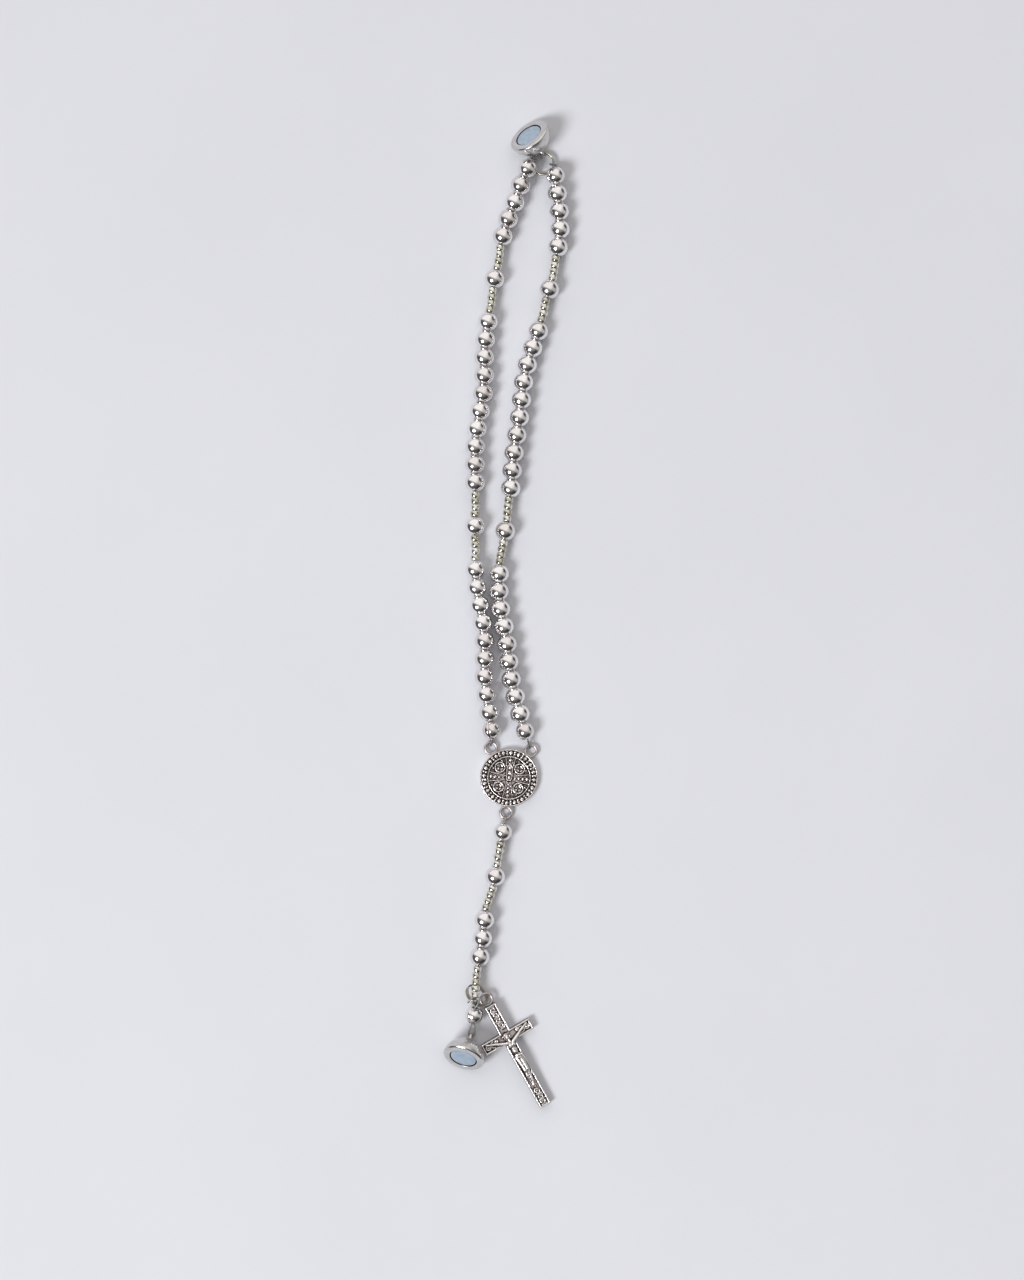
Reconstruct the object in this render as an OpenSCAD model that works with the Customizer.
// A five-decade rosary bracelet, laid flat on a table with its magnetic clasp open.
// Two strands run from the upper clasp half down to a round medal. A single strand
// hangs from the medal to a split ring, which holds a crucifix and the lower clasp half.
// Millimetres, X to the right, Y towards the upper clasp half, Z up from the table.

/* [Beads] */
// Diameter of a round bead
bead_d = 4.25; // [4:0.05:4.4]
// Length of a round bead along its bore
bead_len = 3.45; // [3.3:0.05:3.5]
// Length of wire that a round bead takes up
bead_pitch = 3.84; // [3.8:0.01:3.9]
// Bore of the round beads and spacers
bore_d = 1.1; // [0.9:0.05:1.2]
// Diameter of a spacer bead
spacer_d = 2; // [1.6:0.05:2.05]
// Length of a spacer bead along its bore
spacer_len = 1.1; // [1:0.05:1.15]
// Length of wire that a spacer takes up
spacer_pitch = 1.37; // [1.35:0.01:1.45]
// Diameter of the covers that hide the crimped wire ends
cover_d = 4; // [3.8:0.05:4]
// Bore of those covers
cover_bore_d = 1.5; // [1.4:0.05:1.6]
// Bore of the bare crimp at the foot of the pendant strand
crimp_bore_d = 1.3; // [1.25:0.05:1.35]
// Width of the seam where a cover closes
cover_seam = 0.2; // [0.1:0.05:0.3]
// Diameter of the stringing wire
wire_d = 0.4; // [0.3:0.05:0.4]

/* [Clasp] */
// Diameter of a domed clasp half
dome_d = 8.9; // [8.6:0.1:9]
// Diameter of the magnet set in its face
magnet_d = 5.6; // [5.4:0.1:5.9]
// Thickness of the magnet
magnet_t = 2; // [1.5:0.1:2.2]
// Groove around the magnet
groove = 0.2; // [0.1:0.05:0.2]
// Angle that the face looks up from the table
face_lift = 37.5; // [37.5:0.1:38]
// Direction of the upper face, from the X axis
upper_face_turn = 130; // [128:1:132]
// Direction of the lower face, from the X axis
lower_face_turn = 250; // [248:1:252]

/* [Rings] */
// Outer diameter of the split ring at the upper clasp half
upper_ring_d = 5; // [4.9:0.1:5.1]
// Outer diameter of the split ring that carries the crucifix
lower_ring_d = 5.4; // [5.3:0.1:5.5]
// Diameter of the wire that both split rings are coiled from
ring_wire_d = 0.43; // [0.4:0.01:0.45]
// Tilt of the lower split ring from the table
lower_ring_tilt = 55; // [54:1:56]

/* [Medal] */
// Diameter of the medal
medal_d = 12.3; // [12:0.1:12.6]
// Thickness of the medal at its field
medal_t = 1.3; // [1.1:0.1:1.5]
// Height of the raised border and rings
relief_low = 0.22; // [0.15:0.01:0.3]
// Height of the raised cross and roundels
relief_high = 0.45; // [0.35:0.01:0.5]

/* [Crucifix] */
// Length of the upright
upright_len = 24.5; // [24:0.1:25]
// Length of the crossbar
bar_len = 11.6; // [11:0.1:11.8]
// Width of the upright and crossbar
cross_w = 2.5; // [2.3:0.1:2.6]
// Thickness of the cross
cross_t = 1.2; // [1:0.1:1.3]
// Distance from the top of the upright to the middle of the crossbar
bar_drop = 7.7; // [7.4:0.1:8]

/* [Hidden] */

// Every place below is measured from the middle of the medal, and the whole is
// then moved so that the middle of its outline stands over the origin.
centre_shift = [0.5, -34.61, 0];

bead_r = bead_d / 2;
wire_r = wire_d / 2;
ring_wire_r = ring_wire_d / 2;
ring_pitch = ring_wire_d + 0.03;
ring_half_h = (ring_pitch + ring_wire_d) / 2;
dome_r = dome_d / 2;
medal_r = medal_d / 2;
round_sides = 48;

// Routes of the strands: x, y and the lift above a bead that rests on the table
left_route = [
    [3.9, 129.2, 1.125], [2.5, 126.4, 0.5], [1.6, 123, 0.1], [0, 119.5, 0], [-1.1, 115.9, 0],
    [-1.8, 113.5, 0], [-2, 111.2, 0], [-2.3, 109, 0], [-3, 106.7, 0], [-3.5, 104.4, 0],
    [-3.6, 102, 0], [-3.9, 99.8, 0], [-4.4, 97.8, 0], [-4.9, 94.3, 0], [-5.3, 90.4, 0],
    [-5.3, 86.6, 0], [-5.3, 82.7, 0], [-6, 79.1, 0], [-6.7, 75.2, 0], [-7.2, 71.4, 0],
    [-7.3, 67.6, 0], [-7.2, 63.7, 0], [-7.3, 61.3, 0], [-7.1, 58.9, 0], [-7.2, 56.6, 0],
    [-7.3, 54.2, 0], [-7.3, 51.8, 0], [-7.1, 49.5, 0], [-7.2, 47.3, 0], [-7.2, 44.9, 0],
    [-7, 41, 0], [-6.3, 37.2, 0], [-5.7, 33.3, 0], [-5.1, 29.5, 0], [-5.2, 25.7, 0],
    [-5.3, 21.8, 0], [-4.9, 17.9, 0], [-4.2, 14.1, 0], [-3.7, 10.2, 0]
];
right_route = [
    [9.9, 127.7, 0.775], [10.2, 124, 0.3], [10.6, 120.4, 0], [10.9, 116.7, 0], [10.5, 113.1, 0],
    [9.9, 110.6, 0], [9.6, 108.4, 0], [9.3, 106.3, 0], [8.6, 103.9, 0], [7.8, 101.5, 0],
    [7.4, 99.3, 0], [6.9, 97.2, 0], [6.3, 95.1, 0], [5, 91.4, 0], [3.8, 87.8, 0],
    [3, 84.1, 0], [2.6, 80.3, 0], [2.2, 76.4, 0], [1.6, 72.7, 0], [1, 69, 0],
    [0.6, 65.1, 0], [0.4, 61.1, 0], [-0.1, 58.7, 0], [-0.3, 56.8, 0], [-0.4, 54.8, 0],
    [-0.7, 52.7, 0], [-1.2, 50.2, 0], [-1.5, 48.3, 0], [-1.9, 46.1, 0], [-2.1, 43.6, 0],
    [-2.2, 39.9, 0], [-1.9, 36.1, 0], [-1.1, 32.4, 0], [-0.4, 28.7, 0], [-0.1, 24.8, 0],
    [0.4, 21, 0], [1.3, 17.4, 0], [2.3, 13.7, 0], [3.4, 10, 0]
];
pendant_route = [
    [-1.3, -11.4, 0], [-1.9, -14.4, 0], [-2.3, -16.6, 0], [-2.6, -18.9, 0], [-3, -21.4, 0],
    [-3.6, -23.7, 0], [-4.4, -26, 0], [-5, -28.2, 0], [-5.3, -30.6, 0], [-5.7, -34.5, 0],
    [-6.3, -38.3, 0], [-6.8, -41, 0], [-7, -43.4, 0.175], [-7.2, -46, 0.775]
];

// What is strung on each route, in order: kind and count
strand_run = [
    ["cover", 1], ["bead", 4], ["spacer", 4], ["bead", 1], ["spacer", 4], ["bead", 10],
    ["spacer", 4], ["bead", 1], ["spacer", 4], ["bead", 9], ["cover", 1]
];
pendant_run = [
    ["cover", 1], ["spacer", 4], ["bead", 1], ["spacer", 4], ["bead", 3], ["spacer", 4],
    ["crimp", 1]
];

function unit(v) = v / norm(v);
function across(v, n) = v - (v * n) * n;
function heading(turn, rise = 0) = [cos(turn) * cos(rise), sin(turn) * cos(rise), sin(rise)];

// Smooth curve through the points of a route
function blend(a, b, c, d, t) =
    0.5 * (2 * b + (c - a) * t + (2 * a - 5 * b + 4 * c - d) * t * t
    + (3 * b - a - 3 * c + d) * t * t * t);
function smooth(route, steps) = [
    for (i = [0:len(route) - 2], k = [0:steps - 1])
        blend(
            route[max(i - 1, 0)], route[i], route[i + 1],
            route[min(i + 2, len(route) - 1)], k / steps
        ),
    route[len(route) - 1]
];

// Length along a curve at each of its points, and the point at a given length
function lengths(points) = [
    for (i = 0, s = 0; i < len(points); i = i + 1,
        s = s + (i < len(points) ? norm(points[i] - points[i - 1]) : 0)) s
];
function ruler(points) = let (s = lengths(points))
    [for (axis = [0:2]) [for (i = [0:len(s) - 1]) [s[i], points[i][axis]]]];
function point_at(measure, s) = [for (axis = [0:2]) lookup(s, measure[axis])];
function end_of(measure) = measure[0][len(measure[0]) - 1][0];
function raised(route) = [for (p = route) [p.x, p.y, bead_r + p.z]];
function floored(points) = [for (p = points) [p.x, p.y, max(p.z, bead_r)]];
function measured(route) = ruler(floored(smooth(raised(route), 6)));

// The strung pieces, and the length along the route at the middle of each
function pieces(run) = [for (row = run) for (i = [1:row[1]]) row[0]];
function room(kind) = kind == "spacer" || kind == "crimp" ? spacer_pitch : bead_pitch;
function middles(kinds) = [
    for (i = 0, s = 0; i < len(kinds); i = i + 1,
        s = s + (room(kinds[i - 1]) + room(kinds[i])) / 2) s
];
function piece_len(kind) = kind == "spacer" || kind == "crimp" ? spacer_len : bead_len;

// A strung piece's middle and the direction of its bore
function seat(measure, s, len) =
    let (a = point_at(measure, s - len / 2), b = point_at(measure, s + len / 2))
    [(a + b) / 2, unit(b - a)];

// Circular tube along a list of points, with its ends closed
function turned_frames(points, tangents) = [
    for (i = 0, u = unit(across([0.3, 0.2, 1], tangents[0])); i < len(points); i = i + 1,
        u = i < len(points) ? unit(across(u, tangents[i])) : u) u
];
module tube(points, r, sides = 6) {
    last = len(points) - 1;
    tangents = [for (i = [0:last]) unit(points[min(i + 1, last)] - points[max(i - 1, 0)])];
    normals = turned_frames(points, tangents);
    skin = [
        for (i = [0:last], k = [0:sides - 1])
            let (a = 360 * k / sides)
            points[i] + r * (cos(a) * normals[i] + sin(a) * cross(tangents[i], normals[i]))
    ];
    walls = [
        for (i = [0:last - 1], k = [0:sides - 1])
            let (a = i * sides + k, b = i * sides + (k + 1) % sides)
            [a, b, b + sides, a + sides]
    ];
    caps = [
        [for (k = [0:sides - 1]) sides - 1 - k],
        [for (k = [0:sides - 1]) last * sides + k]
    ];
    polyhedron(points = skin, faces = [for (f = concat(walls, caps)) [for (i = [len(f) - 1:-1:0]) f[i]]]);
}

// Side on which a bend of wire passes a bar
function hook_side(mouth, at, bar_dir) = cross(bar_dir, unit(across(at - mouth, bar_dir)));

module facing(at, dir) {
    translate(at)
    rotate([0, acos(dir.z / norm(dir)), atan2(dir.y, dir.x)])
    children();
}

// Ball with flat ends, bored along Z
module ball(d, len, bore) {
    rotate_extrude($fn = round_sides)
    intersection() {
        circle(d = d, $fn = round_sides);
        translate([bore / 2, -len / 2]) square([d, len]);
    }
}

// Closed cover over a crimp: a ball with a seam down one side
module cover(at, dir) {
    facing(at, dir)
    difference() {
        ball(cover_d, bead_len, cover_bore_d);
        translate([0, -cover_seam / 2, -cover_d]) cube([cover_d, cover_seam, 2 * cover_d]);
    }
}

// Strands
strand_kinds = pieces(strand_run);
pendant_kinds = pieces(pendant_run);
left_measure = measured(left_route);
right_measure = measured(right_route);
pendant_measure = measured(pendant_route);

// Lengths along the route at the middles, shared out evenly from end to end
function shared(measure, kinds) =
    let (m = middles(kinds), ratio = end_of(measure) / m[len(m) - 1]) [for (s = m) s * ratio];

// Middle of an end piece and the direction in which its bore looks off the strand
function first_seat(measure) =
    let (a = point_at(measure, 0), b = point_at(measure, bead_len / 2)) [a, unit(a - b)];
function last_seat(measure) =
    let (
        a = point_at(measure, end_of(measure)),
        b = point_at(measure, end_of(measure) - bead_len / 2)
    ) [a, unit(a - b)];

module strung(measure, kinds, wanted) {
    at = shared(measure, kinds);
    for (i = [0:len(kinds) - 1])
        if (kinds[i] == wanted) {
            place = seat(measure, at[i], piece_len(wanted));
            facing(place[0], place[1])
            if (wanted == "spacer") ball(spacer_d, spacer_len, bore_d);
            else ball(bead_d, bead_len, bore_d);
        }
}

// Medal and its three soldered ears
ear_r = 1.2;
ear_wire_r = 0.3;
ear_z = 0.85;
ear_reach = medal_r + ear_r + 0.05;
left_ear_turn = 121.4;
right_ear_turn = 50.8;
lower_ear_turn = 265.1;
function ear_middle(turn) = ear_reach * heading(turn) + [0, 0, ear_z];
function ear_bar(turn, from) =
    let (c = ear_middle(turn), out = unit([from.x - c.x, from.y - c.y, 0]))
    [c + ear_r * out, [-out.y, out.x, 0]];

// Clasp halves; the foot of each loop just clears the table
loop_r = 0.86;
loop_wire_r = 0.32;
loop_reach = dome_r + loop_r + 0.05;
upper_dome = [4.1, 136.1, dome_r];
lower_dome = [-9.7, -59.2, dome_r];
function loop_middle(dome, turn) = dome - loop_reach * heading(turn, face_lift);

// Upper split ring: it hangs in the clasp's loop and leans down to the table
upper_ring_r = (upper_ring_d - ring_wire_d) / 2;
upper_ring_turn = -80;
upper_ring_rest = ring_half_h + wire_d + 0.2;
upper_ring_hang = loop_middle(upper_dome, upper_face_turn) - [0, 0, 0.03];
upper_ring_tilt = asin((upper_ring_hang.z - upper_ring_rest) / (2 * upper_ring_r));
upper_ring_at = upper_ring_hang
    + upper_ring_r * heading(upper_ring_turn, -upper_ring_tilt);
function upper_ring_bar(turn) =
    let (
        a = turn - upper_ring_turn,
        down = heading(upper_ring_turn, -upper_ring_tilt),
        level = heading(upper_ring_turn + 90)
    )
    [upper_ring_at + upper_ring_r * (cos(a) * down + sin(a) * level), cos(a) * level - sin(a) * down];

// Lower split ring: it stands on edge, with its high side over the wire ends
lower_ring_r = (lower_ring_d - ring_wire_d) / 2;
lower_ring_turn = 228;
lower_ring_at = [-6.8, -46, lower_ring_r * sin(lower_ring_tilt) + 0.5];
function lower_ring_bar(a) =
    let (up = heading(lower_ring_turn, lower_ring_tilt), level = heading(lower_ring_turn + 90))
    [lower_ring_at + lower_ring_r * (cos(a) * up + sin(a) * level), cos(a) * level - sin(a) * up];
strand_bar_at = -10;
link_bar_at = 24;

// Cover and wire that join the lower ring to the lower clasp half
link_at = [-7.4, -50.3, cover_d / 2];
link_high = lower_ring_bar(link_bar_at);
link_clasp = loop_middle(lower_dome, lower_face_turn);
link_low_out = unit(across(link_at - link_clasp, heading(lower_face_turn + 90)));
link_low = [link_clasp + loop_r * link_low_out, cross(link_low_out, heading(lower_face_turn + 90))];
link_axis = unit([
    link_high[0].x - link_low[0].x,
    link_high[0].y - link_low[0].y,
    0.6 * (link_high[0].z - link_low[0].z)
]);

// Crucifix: its bail hangs on the lower split ring and its foot lies on the table
bail_at = [-4.8, -47, 1.85];
bail_r = 1.25;
bail_wire_r = 0.3;
cross_turn = 29;
cross_pitch = 2.2;
cross_roll = 6.5;

// Legs of wire side by side in a cover, and the room that a bend needs round a bar
leg_gap = 0.28;
crimp_leg_gap = 0.22;
throat = 0.3;
ear_bend = 0.61;
ring_bend = 0.78;
loop_bend = 0.65;
function legs(place, side, gap) = gap * unit(across(side, place[1]));
function ending(place, half, bar, bend, gap) =
    let (
        mouth = place[0] + half * place[1],
        side = hook_side(mouth, bar[0], bar[1]),
        leg = legs(place, side, gap),
        out = unit(across(bar[0] - mouth, bar[1]))
    )
    concat(
        [place[0] - leg, mouth - leg, mouth + throat * place[1] - leg],
        [for (a = [-105, -60, -20, 20, 60, 105]) bar[0] + bend * (cos(a) * out + sin(a) * side)],
        [mouth + throat * place[1] + leg, mouth + leg, place[0] + leg]
    );
function inner(route) = [for (i = [1:len(route) - 2]) route[i]];

left_start = first_seat(left_measure);
left_end = last_seat(left_measure);
right_start = first_seat(right_measure);
right_end = last_seat(right_measure);
pendant_start = first_seat(pendant_measure);
pendant_end = last_seat(pendant_measure);
link_start = [link_at, link_axis];
link_end = [link_at, -link_axis];

module wire(points) { tube(smooth(points, 2), wire_r); }
module strand_wire(start, start_bar, start_bend, route, end, end_bar) {
    wire(concat(
        ending(start, bead_len / 2, start_bar, start_bend, leg_gap),
        inner(raised(route)),
        ending(end, bead_len / 2, end_bar, ear_bend, leg_gap)
    ));
}

module left_wire() {
    color("lightgray")
    strand_wire(
        left_start, upper_ring_bar(154), ring_bend, left_route,
        left_end, ear_bar(left_ear_turn, left_end[0])
    );
}
module right_wire() {
    color("lightgray")
    strand_wire(
        right_start, upper_ring_bar(-5), ring_bend, right_route,
        right_end, ear_bar(right_ear_turn, right_end[0])
    );
}
module pendant_wire() {
    color("lightgray")
    wire(concat(
        ending(
            pendant_start, bead_len / 2, ear_bar(lower_ear_turn, pendant_start[0]), ear_bend,
            leg_gap
        ),
        inner(raised(pendant_route)),
        ending(
            pendant_end, spacer_len / 2, lower_ring_bar(strand_bar_at), ring_bend, crimp_leg_gap
        )
    ));
}
module link_wire() {
    color("lightgray")
    wire(concat(
        ending(link_start, bead_len / 2, link_high, ring_bend, leg_gap),
        ending(link_end, bead_len / 2, link_low, loop_bend, leg_gap)
    ));
}

module left_beads() { color("silver") strung(left_measure, strand_kinds, "bead"); }
module left_spacers() { color("lightgoldenrodyellow") strung(left_measure, strand_kinds, "spacer"); }
module right_beads() { color("silver") strung(right_measure, strand_kinds, "bead"); }
module right_spacers() { color("lightgoldenrodyellow") strung(right_measure, strand_kinds, "spacer"); }
module pendant_beads() { color("silver") strung(pendant_measure, pendant_kinds, "bead"); }
module pendant_spacers() {
    color("lightgoldenrodyellow") strung(pendant_measure, pendant_kinds, "spacer");
}
module pendant_crimp() {
    color("darkgray")
    facing(pendant_end[0], pendant_end[1])
    difference() {
        cylinder(d = spacer_d, h = spacer_len, center = true, $fn = round_sides);
        cylinder(d = crimp_bore_d, h = 2 * spacer_len, center = true, $fn = round_sides);
    }
}
module upper_left_cover() { color("gainsboro") cover(left_start[0], left_start[1]); }
module upper_right_cover() { color("gainsboro") cover(right_start[0], right_start[1]); }
module medal_left_cover() { color("gainsboro") cover(left_end[0], left_end[1]); }
module medal_right_cover() { color("gainsboro") cover(right_end[0], right_end[1]); }
module pendant_cover() { color("gainsboro") cover(pendant_start[0], pendant_start[1]); }
module link_cover() { color("gainsboro") cover(link_at, link_axis); }

module ring_bar(r, wire_r) {
    rotate_extrude($fn = round_sides) translate([r, 0]) circle(r = wire_r, $fn = 24);
}

// Split ring: nearly two turns of wire, with one step from the lower turn to the upper
coil_start = 35;
coil_end = 685;
coil_step = 325;
step_turn = 70;
function coil_height(a) = ring_pitch * (min(max((a - coil_step) / step_turn, 0), 1) - 0.5);
module split_ring(r) {
    tube(
        [for (a = [coil_start:13:coil_end]) [r * cos(a), r * sin(a), coil_height(a)]],
        ring_wire_r
    );
}
module upper_ring() {
    color("silver")
    translate(upper_ring_at)
    rotate([0, upper_ring_tilt, upper_ring_turn])
    split_ring(upper_ring_r);
}
lower_ring_split = 240;
module lower_ring() {
    color("silver")
    translate(lower_ring_at)
    rotate([0, -lower_ring_tilt, lower_ring_turn])
    rotate([0, 0, lower_ring_split])
    split_ring(lower_ring_r);
}

// Clasp half: a dome with a pocket for its magnet and a cast loop at its pole
rim_round = 0.25;
magnet_sink = 0.1;
pocket_r = magnet_d / 2 + groove;
module at_clasp(dome, turn) { translate(dome) rotate([0, 90 - face_lift, turn]) children(); }
module cup(dome, turn) {
    at_clasp(dome, turn) {
        rotate_extrude($fn = round_sides)
        difference() {
            intersection() {
                circle(r = dome_r, $fn = round_sides);
                polygon([
                    [0, -dome_r], [dome_r, -dome_r], [dome_r, -rim_round],
                    [dome_r - rim_round, 0], [0, 0]
                ]);
            }
            translate([-1, -magnet_t - magnet_sink - 0.05]) square([1 + pocket_r, 2 * magnet_t]);
        }
        translate([0, 0, -loop_reach]) rotate([90, 0, 0]) ring_bar(loop_r, loop_wire_r);
    }
}
module magnet(dome, turn) {
    at_clasp(dome, turn)
    translate([0, 0, -magnet_t - magnet_sink])
    cylinder(d = magnet_d, h = magnet_t, $fn = round_sides);
}
module upper_cup() { color("lightsteelblue") cup(upper_dome, upper_face_turn); }
module upper_magnet() { color("lightblue") magnet(upper_dome, upper_face_turn); }
module lower_cup() { color("lightsteelblue") cup(lower_dome, lower_face_turn); }
module lower_magnet() { color("lightblue") magnet(lower_dome, lower_face_turn); }

// Medal: flat back, raised rims, a flared cross between four roundels, and a
// border of lozenges and pellets
rim_w = 0.32;
inner_ring_r = 4.5;
inner_ring_w = 0.28;
arm_root_w = 0.9;
arm_tip_w = 2.3;
panel = [1.5, 3.6];
panel_rise = 1.1;
roundel_r = 1.2;
roundel_out = 2.95;
roundel_rim_w = 0.3;
roundel_boss_r = 0.42;
border_count = 20;
lozenge_r = 0.38;
pellet_r = 0.2;
// Turn of the whole design on the medal
design_turn = -5;
// How far a raised part is sunk into the metal below it
sink = 0.1;
module hoop(r, w, h) {
    rotate_extrude($fn = 96) translate([r - w, -sink]) square([w, h + sink]);
}
module medal_arm() {
    linear_extrude(height = relief_low + sink)
    polygon([
        [-arm_root_w / 2, 0], [arm_root_w / 2, 0],
        [arm_tip_w / 2, inner_ring_r - inner_ring_w / 2],
        [-arm_tip_w / 2, inner_ring_r - inner_ring_w / 2]
    ]);
}
module roundel() {
    hoop(roundel_r, roundel_rim_w, relief_low);
    translate([0, 0, -sink]) cylinder(r = roundel_boss_r, h = relief_high + sink, $fn = 24);
}
module panel_block() {
    w = panel.x / 2;
    translate([0, panel_rise, -sink]) {
        translate([-w, w - panel.y / 2, 0]) cube([panel.x, panel.y - panel.x, relief_high + sink]);
        for (y = [w - panel.y / 2, panel.y / 2 - w])
            translate([0, y, 0]) cylinder(r = w, h = relief_high + sink, $fn = round_sides);
    }
}
module medal() {
    color("silver") {
        cylinder(d = medal_d, h = medal_t, $fn = 96);
        translate([0, 0, medal_t]) {
            hoop(medal_r, rim_w, relief_low);
            hoop(inner_ring_r + inner_ring_w / 2, inner_ring_w, relief_low);
        }
        translate([0, 0, medal_t]) rotate(design_turn) {
            for (a = [0:90:270]) rotate(a) translate([0, 0, -sink]) medal_arm();
            for (a = [45:90:315]) translate(roundel_out * heading(a)) roundel();
            panel_block();
            for (i = [0:border_count - 1]) rotate(i * 360 / border_count) {
                translate([(inner_ring_r + medal_r) / 2, 0, -sink])
                cylinder(r = lozenge_r, h = relief_low + sink, $fn = 4);
                rotate(180 / border_count) translate([(inner_ring_r + medal_r) / 2, 0, -sink])
                cylinder(r = pellet_r, h = relief_low + sink, $fn = 16);
            }
        }
        for (turn = [left_ear_turn, right_ear_turn, lower_ear_turn])
            translate(ear_middle(turn)) ring_bar(ear_r, ear_wire_r);
    }
}

// Crucifix: a bordered cross with scrolls at its ends, a plain figure, and a bail
border_w = 0.35;
border_h = 0.3;
scroll_r = 0.62;
scroll_eye_r = 0.36;
upright_top = -bail_r - 0.15;
bar_y = upright_top - bar_drop;
module cross_plan(inset) {
    w = cross_w - 2 * inset;
    translate([-w / 2, upright_top - upright_len + inset]) square([w, upright_len - 2 * inset]);
    translate([inset - bar_len / 2, bar_y - w / 2]) square([bar_len - 2 * inset, w]);
}
module limb(points) {
    for (i = [0:len(points) - 2])
        hull() for (p = [points[i], points[i + 1]])
            translate([p[0], p[1], p[2]]) sphere(r = p[3], $fn = 12);
}
module scroll(x, y) {
    translate([x, y, cross_t / 2 - sink]) difference() {
        cylinder(r = scroll_r, h = border_h, $fn = 16);
        cylinder(r = scroll_eye_r, h = cross_t, center = true, $fn = 12);
    }
}
module figure() {
    z = cross_t / 2;
    limb([[0, -0.7, z + 0.5, 0.36], [-0.15, 0.1, z + 0.75, 0.52], [-0.2, 0.4, z + 0.72, 0.5]]);
    for (s = [-1, 1]) limb([
        [s * 0.55, -1.25, z + 0.55, 0.42], [s * 1.1, -1.05, z + 0.5, 0.36],
        [s * 2.8, -0.2, z + 0.35, 0.3], [s * 4.5, 0.5, z + 0.25, 0.24]
    ]);
    hull() for (p = [[-0.45, -1.4, 0.5], [0.45, -1.4, 0.5], [-0.25, -3.6, 0.42], [0.25, -3.6, 0.42]])
        translate([p[0], p[1], z + 0.5]) sphere(r = p[2], $fn = 12);
    hull() for (p = [[-0.25, -3.6, 0.42], [0.25, -3.6, 0.42], [-0.4, -5.2, 0.55], [0.45, -5.4, 0.55]])
        translate([p[0], p[1], z + 0.5]) sphere(r = p[2], $fn = 12);
    limb([[0.75, -4.8, z + 0.5, 0.35], [0.95, -6.2, z + 0.35, 0.3]]);
    limb([[-0.35, -5.4, z + 0.5, 0.48], [-0.1, -8, z + 0.75, 0.36], [-0.2, -10.9, z + 0.35, 0.24]]);
    limb([[0.4, -5.4, z + 0.5, 0.48], [0.45, -8, z + 0.7, 0.36], [0.15, -10.9, z + 0.35, 0.24]]);
    limb([[0, -11, z + 0.35, 0.28], [0, -12.1, z + 0.5, 0.26]]);
}
module crucifix() {
    color("silver")
    translate(bail_at)
    rotate([0, 0, cross_turn]) rotate([cross_pitch, 0, 0]) rotate([0, cross_roll, 0])
    union() {
        rotate_extrude($fn = 24) translate([bail_r, 0]) circle(r = bail_wire_r, $fn = 8);
        translate([0, 0, -cross_t / 2]) linear_extrude(height = cross_t) cross_plan(0);
        translate([0, 0, cross_t / 2 - sink]) linear_extrude(height = border_h + sink)
        difference() {
            cross_plan(0);
            cross_plan(border_w);
        }
        for (y = [-1.1, -2.5, -3.9]) scroll(0, upright_top + y);
        for (y = [1.1, 2.5, 3.9]) scroll(0, upright_top - upright_len + y);
        for (s = [-1, 1]) scroll(s * (bar_len / 2 - 1.05), bar_y);
        translate([0, bar_y, 0]) figure();
    }
}

translate(centre_shift) {
    medal();
    crucifix();
    lower_ring();
    upper_ring();
    upper_cup();
    upper_magnet();
    lower_cup();
    lower_magnet();
    left_beads();
    left_spacers();
    left_wire();
    right_beads();
    right_spacers();
    right_wire();
    pendant_beads();
    pendant_spacers();
    pendant_wire();
    pendant_crimp();
    upper_left_cover();
    upper_right_cover();
    medal_left_cover();
    medal_right_cover();
    pendant_cover();
    link_cover();
    link_wire();
}
